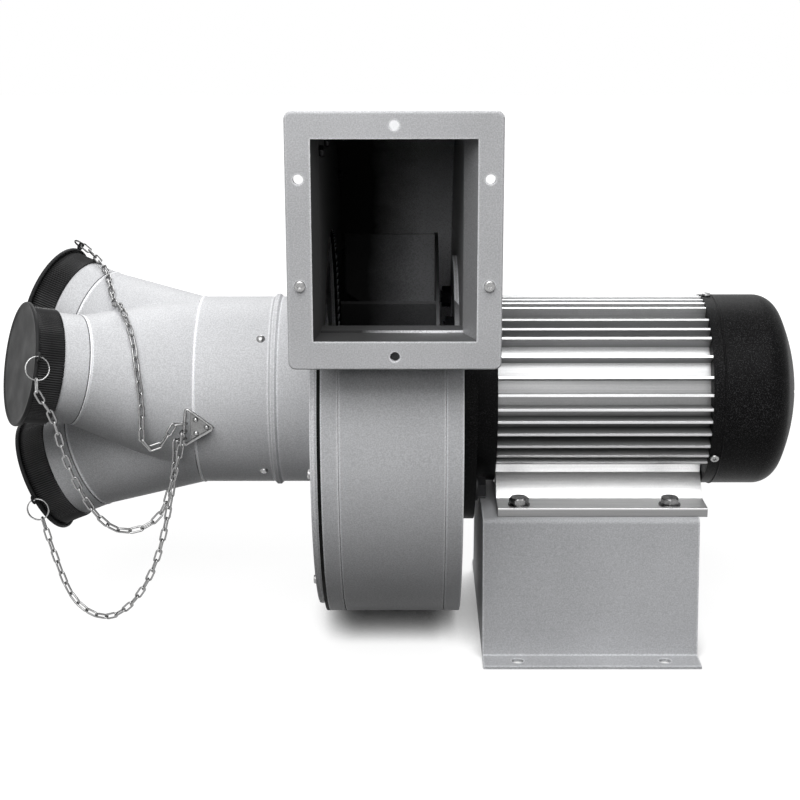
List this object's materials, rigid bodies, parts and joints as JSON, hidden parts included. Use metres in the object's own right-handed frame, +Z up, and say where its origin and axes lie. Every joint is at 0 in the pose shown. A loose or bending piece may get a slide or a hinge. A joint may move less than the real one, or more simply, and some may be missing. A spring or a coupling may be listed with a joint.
{
  "type": "material handling fan",
  "caption": "Motor-driven centrifugal fan on a steel base, with a spiral casing, a flanged side outlet and a branched inlet whose spouts take hoses and have chained caps.",
  "frame": {"origin": "middle of the base's bolt pattern, on the floor", "axes": "+X along the shaft from the inlet towards the motor's cowl, +Z up, the outlet faces -Y"},
  "size_m": [0.7476, 0.472, 0.5105],
  "materials": {
    "powder_coat": "satin",
    "casing_coat": "satin",
    "shield_casting": "satin",
    "black_paint": "satin",
    "motor_casting": "satin",
    "rubber_black": "matte",
    "lid_steel": "satin",
    "zinc_steel": "bright",
    "chain_steel": "bright",
    "shaft_steel": "satin",
    "laminations": "matte",
    "winding_copper": "satin",
    "black_plastic": "matte",
    "terminal_plastic": "matte"
  },
  "bodies": {
    "housing": {"base_pedestal": "powder_coat", "motor_frame": "motor_casting", "motor_foot_front": "motor_casting", "motor_foot_rear": "motor_casting", "foot_bolts": "zinc_steel", "flange_end_shield": "shield_casting", "flange_bolts": "zinc_steel", "rear_end_shield": "shield_casting", "fan_cowl": "black_paint", "cowl_screws": "zinc_steel", "stator_core": "laminations", "stator_windings": "winding_copper", "drive_bearing_outer": "shaft_steel", "rear_bearing_outer": "shaft_steel", "terminal_box": "black_paint", "terminal_lid": "black_paint", "terminal_lid_screws": "zinc_steel", "cable_gland": "black_plastic", "terminal_block": "terminal_plastic", "scroll_wrapper": "casing_coat", "scroll_inlet_side": "casing_coat", "scroll_motor_side": "casing_coat", "motor_mount_ring": "casing_coat", "outlet_duct": "casing_coat", "outlet_flange": "casing_coat", "flange_screws": "zinc_steel", "inlet_gasket": "rubber_black", "cover_backing": "casing_coat", "inlet_plate": "casing_coat", "plate_screws": "zinc_steel", "main_tube": "casing_coat", "tube_rivets": "zinc_steel", "manifold": "casing_coat", "spout_front": "casing_coat", "spout_upper": "casing_coat", "spout_lower": "casing_coat", "chain_bracket": "zinc_steel", "bracket_rivets": "zinc_steel", "chain_front": "chain_steel", "chain_upper": "chain_steel", "chain_lower": "chain_steel"},
    "rotor": {"motor_shaft": "shaft_steel", "shaft_key": "shaft_steel", "rotor_core": "laminations", "impeller_wheel": "casing_coat", "impeller_hub": "shaft_steel", "hub_fixings": "zinc_steel", "cooling_fan": "black_plastic", "bearing_inner_rings": "shaft_steel"},
    "front_cap": {"lid_front": "lid_steel", "band_front": "rubber_black", "ring_front": "zinc_steel"},
    "upper_cap": {"lid_upper": "lid_steel", "band_upper": "rubber_black", "ring_upper": "zinc_steel"},
    "lower_cap": {"lid_lower": "lid_steel", "band_lower": "rubber_black", "ring_lower": "zinc_steel"}
  },
  "joints": [
    {"name": "rotor_spin", "type": "hinge", "parent": "housing", "child": "rotor", "pos_m": [-0.1, 0, 0.23], "axis": [1, 0, 0], "continuous": true},
    {"name": "front_cap_pull", "type": "slide", "parent": "housing", "child": "front_cap", "axis": [-0.8801, -0.4268, 0.2078], "range_m": [0, 0.035], "deforming": ["chain_front"]},
    {"name": "upper_cap_pull", "type": "slide", "parent": "housing", "child": "upper_cap", "axis": [-0.8956, 0.3168, 0.3122], "range_m": [0, 0.035], "deforming": ["chain_upper"]},
    {"name": "lower_cap_pull", "type": "slide", "parent": "housing", "child": "lower_cap", "axis": [-0.923, 0.0346, -0.3833], "range_m": [0, 0.035], "deforming": ["chain_lower"]}
  ]
}
